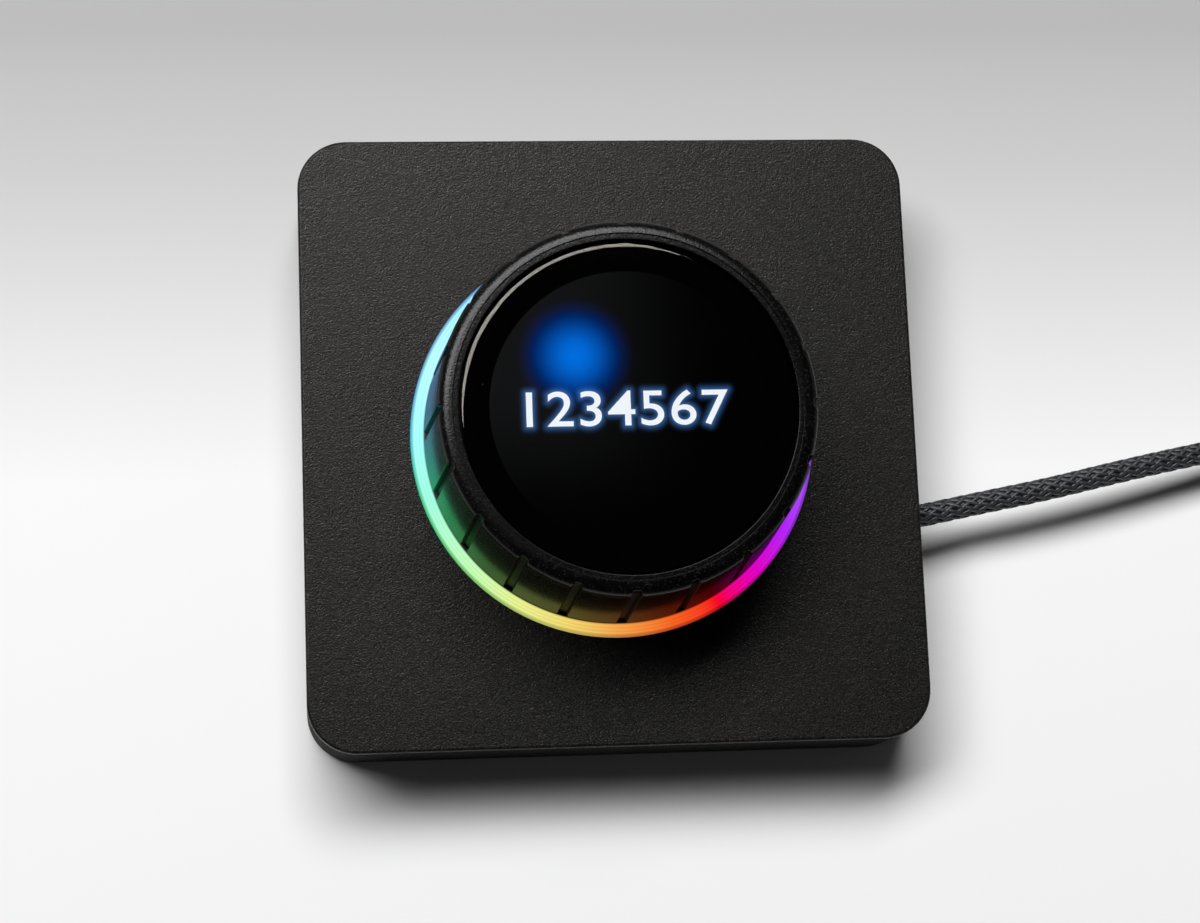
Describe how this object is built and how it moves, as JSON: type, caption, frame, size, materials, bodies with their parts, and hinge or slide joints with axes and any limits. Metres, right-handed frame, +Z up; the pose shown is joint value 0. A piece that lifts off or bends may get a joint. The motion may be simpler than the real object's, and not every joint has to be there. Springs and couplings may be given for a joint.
{
  "type": "knob controller",
  "caption": "Square desk controller with a turning, pressable knob round a fixed display, a lit ring and a captive braided cable.",
  "frame": {"origin": "on the desk under the centre of the square base", "axes": "+Z up along the knob's axis, +X towards the cable's exit, +Y towards the back"},
  "size_m": [0.1782, 0.1087, 0.0327],
  "materials": {
    "shell_black": "moulded, fine matt texture",
    "plate_black": "fine leather-like grain, matt",
    "foot_rubber": "matt",
    "screw_steel": "dark zinc",
    "ballast_steel": "plain sheet",
    "circuit_board": "solder mask",
    "white_board": "white solder mask",
    "chip_black": "epoxy",
    "socket_plastic": "ivory moulding",
    "flex_film": "amber film",
    "switch_steel": "pressed cover",
    "led_white": "moulded lamp body",
    "gland_rubber": "matt",
    "cable_braid": "tight black braid",
    "tie_fabric": "woven strap",
    "clamp_plastic": "moulded",
    "plug_plastic": "soft moulding",
    "plug_steel": "drawn shell",
    "liner_plastic": "moulded",
    "contact_gold": "gold plated",
    "plate_aluminium": "machined",
    "housing_aluminium": "machined",
    "post_aluminium": "turned",
    "bell_aluminium": "black anodised",
    "core_steel": "stacked sheets, lacquered",
    "copper_wire": "enamelled copper",
    "bearing_steel": "ground",
    "ball_steel": "polished",
    "cage_brass": "pressed",
    "spacer_brass": "turned",
    "carrier_plastic": "moulded",
    "cover_glass": "polished, chamfered rim",
    "plunger_plastic": "moulded",
    "spring_steel": "hard drawn wire",
    "knob_black": "grainy matt finish",
    "magnet_nickel": "nickel plated",
    "ring_lit": "frosted, lit in a rainbow from below",
    "display_lit": "black display with a blue glow and white digits"
  },
  "bodies": {
    "base": {"base_shell": "shell_black", "top_skin": "plate_black", "bottom_cover": "shell_black", "rubber_feet": "foot_rubber", "cover_screws": "screw_steel", "ballast_plate": "ballast_steel", "main_board": "circuit_board", "board_screws": "screw_steel", "chips": "chip_black", "flex_sockets": "socket_plastic", "led_lead": "flex_film", "tact_switch": "switch_steel", "guide_screws": "screw_steel", "light_ring": "ring_lit", "led_board": "white_board", "leds": "led_white", "light_baffle": "shell_black", "cable_gland": "gland_rubber", "cable_inner": "cable_braid", "cable_clamp": "clamp_plastic", "clamp_screws": "screw_steel", "lead_plug": "socket_plastic", "lead_socket": "socket_plastic", "cable_run": "cable_braid", "cable_coil": "cable_braid", "cable_tail": "cable_braid", "cable_ties": "tie_fabric", "plug_body": "plug_plastic", "plug_shell": "plug_steel", "plug_liner": "liner_plastic", "plug_contacts": "contact_gold"},
    "head": {"press_plate": "plate_aluminium", "motor_screws": "screw_steel", "stator_housing": "housing_aluminium", "stator_core": "core_steel", "stator_windings": "copper_wire", "bearing_outer_races": "bearing_steel", "encoder_board": "circuit_board", "encoder_chip": "chip_black", "display_post": "post_aluminium", "display_carrier": "carrier_plastic", "carrier_screws": "screw_steel", "display_module": "display_lit", "cover_glass": "cover_glass", "switch_plunger": "plunger_plastic", "return_springs": "spring_steel", "display_flex": "flex_film", "motor_flex": "flex_film"},
    "knob": {"knob_shell": "knob_black", "knob_screws": "screw_steel", "rotor_bell": "bell_aluminium", "rotor_magnets": "magnet_nickel", "bearing_spacer": "spacer_brass", "retaining_clip": "spring_steel", "encoder_magnet": "magnet_nickel", "bearing_inner_races": "bearing_steel"},
    "cages": {"bearing_balls": "ball_steel", "ball_cages": "cage_brass"}
  },
  "joints": [
    {"name": "knob_press", "type": "slide", "parent": "base", "child": "head", "axis": [0, 0, 1], "range_m": [-0.0005, 0], "stiffness_N_per_m": 5000, "springref_m": 0.0005, "deforming": ["return_springs", "display_flex", "motor_flex"]},
    {"name": "knob_turn", "type": "hinge", "parent": "head", "child": "knob", "pos_m": [0, 0, 0.0143], "axis": [0, 0, 1], "continuous": true},
    {"name": "cage_turn", "type": "hinge", "parent": "head", "child": "cages", "pos_m": [0, 0, 0.0143], "axis": [0, 0, 1], "continuous": true}
  ],
  "couplings": [
    {"joint": "cage_turn", "follows": "knob_turn", "ratio": 0.4456}
  ]
}
